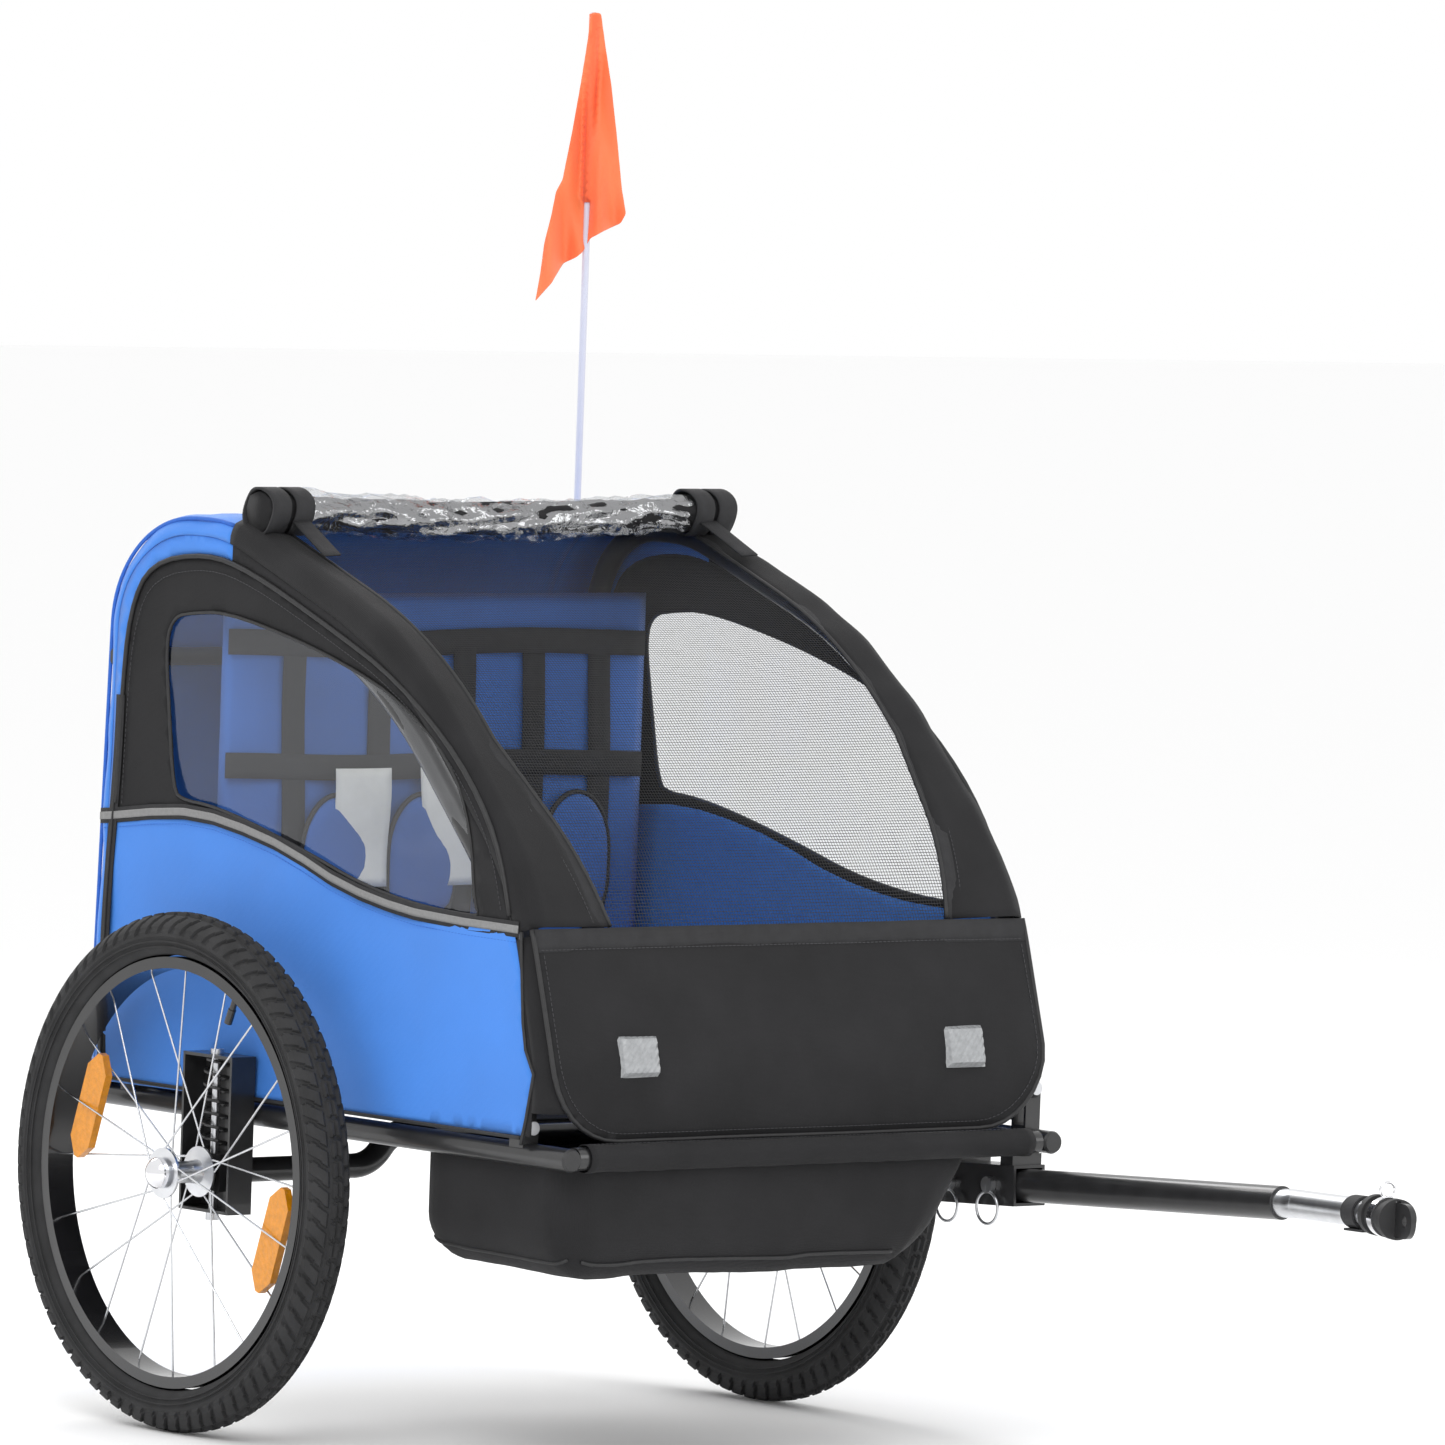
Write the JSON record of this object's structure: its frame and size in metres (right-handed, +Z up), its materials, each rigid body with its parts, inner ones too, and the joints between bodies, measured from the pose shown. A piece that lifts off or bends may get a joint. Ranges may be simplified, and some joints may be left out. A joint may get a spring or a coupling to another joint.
{
  "type": "child bicycle trailer",
  "caption": "Two-seat child bicycle trailer: folding tube frame, blue and black fabric cabin, sprung spoked wheels, side drawbar with rubber joint, rolled rain cover and orange flag.",
  "frame": {"origin": "on the ground, at the centre of the bounding box", "axes": "+Z up, +Y towards the trailer's rear (the drawbar points along -Y), +X towards the trailer's left, the drawbar side"},
  "size_m": [0.8092, 1.4015, 1.3729],
  "materials": {
    "frame_black": "semi-gloss black powder coat",
    "black_plastic": "moulded black plastic",
    "zinc_steel": "bright zinc plate",
    "chrome_steel": "chrome plate",
    "spoke_steel": "drawn stainless wire",
    "hub_alloy": "polished alloy",
    "bar_alloy": "clear anodised",
    "rim_black": "glossy black",
    "tyre_rubber": "block tread",
    "amber": "prismatic amber reflector",
    "clear_reflector": "ribbed clear reflector",
    "joint_rubber": "moulded rubber",
    "blue_fabric": "coated woven polyester",
    "black_fabric": "coated woven polyester",
    "mesh_fabric": "open black insect mesh",
    "webbing": "flat woven webbing",
    "clear_film": "clear flexible film",
    "pole_white": "white fibre-glass rod",
    "flag_orange": "thin bright orange cloth"
  },
  "bodies": {
    "chassis": {"side_rails": "frame_black", "cross_tubes": "frame_black", "rail_caps": "black_plastic", "hinge_brackets": "frame_black", "hinge_bolts": "zinc_steel", "axle_beam": "frame_black", "bracket_right": "frame_black", "bracket_left": "frame_black", "guide_rod_right": "zinc_steel", "guide_rod_left": "zinc_steel", "spring_right": "zinc_steel", "spring_left": "zinc_steel", "tow_receiver": "frame_black", "drawbar": "frame_black", "drawbar_tip": "bar_alloy", "coupler": "joint_rubber", "safety_strap": "webbing", "floor": "black_fabric", "footwell": "black_fabric", "front_panel": "black_fabric", "front_reflectors": "clear_reflector", "front_screen": "mesh_fabric", "side_panel_right": "blue_fabric", "side_panel_left": "blue_fabric", "window_frame_right": "black_fabric", "window_frame_left": "black_fabric", "window_right": "clear_film", "window_left": "clear_film", "hoop_sleeve_right": "black_fabric", "hoop_sleeve_left": "black_fabric", "roof": "blue_fabric", "seat_back": "blue_fabric", "seat_hangers": "webbing", "seat_cushion": "blue_fabric", "harness": "webbing", "rain_roll": "black_fabric", "roll_straps": "webbing"},
    "hoop_left_body": {"hoop_left": "frame_black"},
    "hoop_right_body": {"hoop_right": "frame_black"},
    "crossbar": {"rear_crossbar": "frame_black"},
    "flag_mast": {"flag_pole": "pole_white", "flag": "flag_orange"},
    "right_carriage": {"carriage_right": "zinc_steel"},
    "left_carriage": {"carriage_left": "zinc_steel"},
    "right_wheel": {"tyre_right": "tyre_rubber", "rim_right": "rim_black", "spokes_right": "spoke_steel", "hub_right": "hub_alloy", "hub_cap_right": "chrome_steel", "wheel_reflectors_right": "amber"},
    "left_wheel": {"tyre_left": "tyre_rubber", "rim_left": "rim_black", "spokes_left": "spoke_steel", "hub_left": "hub_alloy", "hub_cap_left": "chrome_steel", "wheel_reflectors_left": "amber"},
    "pin_front": {"lock_pin_front": "zinc_steel"},
    "pin_rear": {"lock_pin_rear": "zinc_steel"},
    "hitch_link": {"coupler_clip": "chrome_steel"},
    "hitch": {"hitch_plate": "frame_black"}
  },
  "joints": [
    {"name": "hoop_left_fold", "type": "hinge", "parent": "chassis", "child": "hoop_left_body", "pos_m": [0.295, 0.448, 0.356], "axis": [0, -1, 0], "range_deg": [0, 85], "deforming": ["front_panel", "front_reflectors", "front_screen", "side_panel_right", "side_panel_left", "window_frame_right", "window_frame_left", "window_right", "window_left", "hoop_sleeve_right", "hoop_sleeve_left", "roof", "seat_back", "seat_hangers", "harness", "rain_roll", "roll_straps"]},
    {"name": "hoop_right_fold", "type": "hinge", "parent": "chassis", "child": "hoop_right_body", "pos_m": [-0.295, 0.448, 0.331], "axis": [0, 1, 0], "range_deg": [0, 85]},
    {"name": "crossbar_lower", "type": "slide", "parent": "chassis", "child": "crossbar", "axis": [0, 0, -1], "range_m": [0, 0.355]},
    {"name": "right_suspension", "type": "slide", "parent": "chassis", "child": "right_carriage", "axis": [0, 0, 1], "range_m": [0, 0.025], "stiffness_N_per_m": 15000, "springref_m": -0.01, "deforming": ["spring_right"]},
    {"name": "left_suspension", "type": "slide", "parent": "chassis", "child": "left_carriage", "axis": [0, 0, 1], "range_m": [0, 0.025], "stiffness_N_per_m": 15000, "springref_m": -0.01, "deforming": ["spring_left"]},
    {"name": "right_wheel_spin", "type": "hinge", "parent": "right_carriage", "child": "right_wheel", "pos_m": [-0.365, 0.448, 0.25], "axis": [1, 0, 0], "continuous": true},
    {"name": "left_wheel_spin", "type": "hinge", "parent": "left_carriage", "child": "left_wheel", "pos_m": [0.365, 0.448, 0.25], "axis": [1, 0, 0], "continuous": true},
    {"name": "lock_pin_front_pull", "type": "slide", "parent": "chassis", "child": "pin_front", "axis": [-1, 0, 0], "range_m": [0, 0.045]},
    {"name": "lock_pin_rear_pull", "type": "slide", "parent": "chassis", "child": "pin_rear", "axis": [-1, 0, 0], "range_m": [0, 0.045]},
    {"name": "flag_pole_lift", "type": "slide", "parent": "chassis", "child": "flag_mast", "axis": [0, 0, 1], "range_m": [0, 0.3]},
    {"name": "hitch_flex_yaw", "type": "hinge", "parent": "chassis", "child": "hitch_link", "pos_m": [0.2073, -0.63949, 0.29234], "axis": [0, 0, 1], "range_deg": [-35, 35], "stiffness_Nm_per_rad": 60, "deforming": ["coupler"]},
    {"name": "hitch_flex_pitch", "type": "hinge", "parent": "hitch_link", "child": "hitch", "pos_m": [0.2073, -0.63949, 0.29234], "axis": [0.9511, -0.309, 0], "range_deg": [-25, 25], "stiffness_Nm_per_rad": 60}
  ],
  "couplings": [
    {"joint": "hoop_right_fold", "follows": "hoop_left_fold", "ratio": 1},
    {"joint": "crossbar_lower", "follows": "hoop_left_fold", "m_per_rad": 0.239}
  ]
}
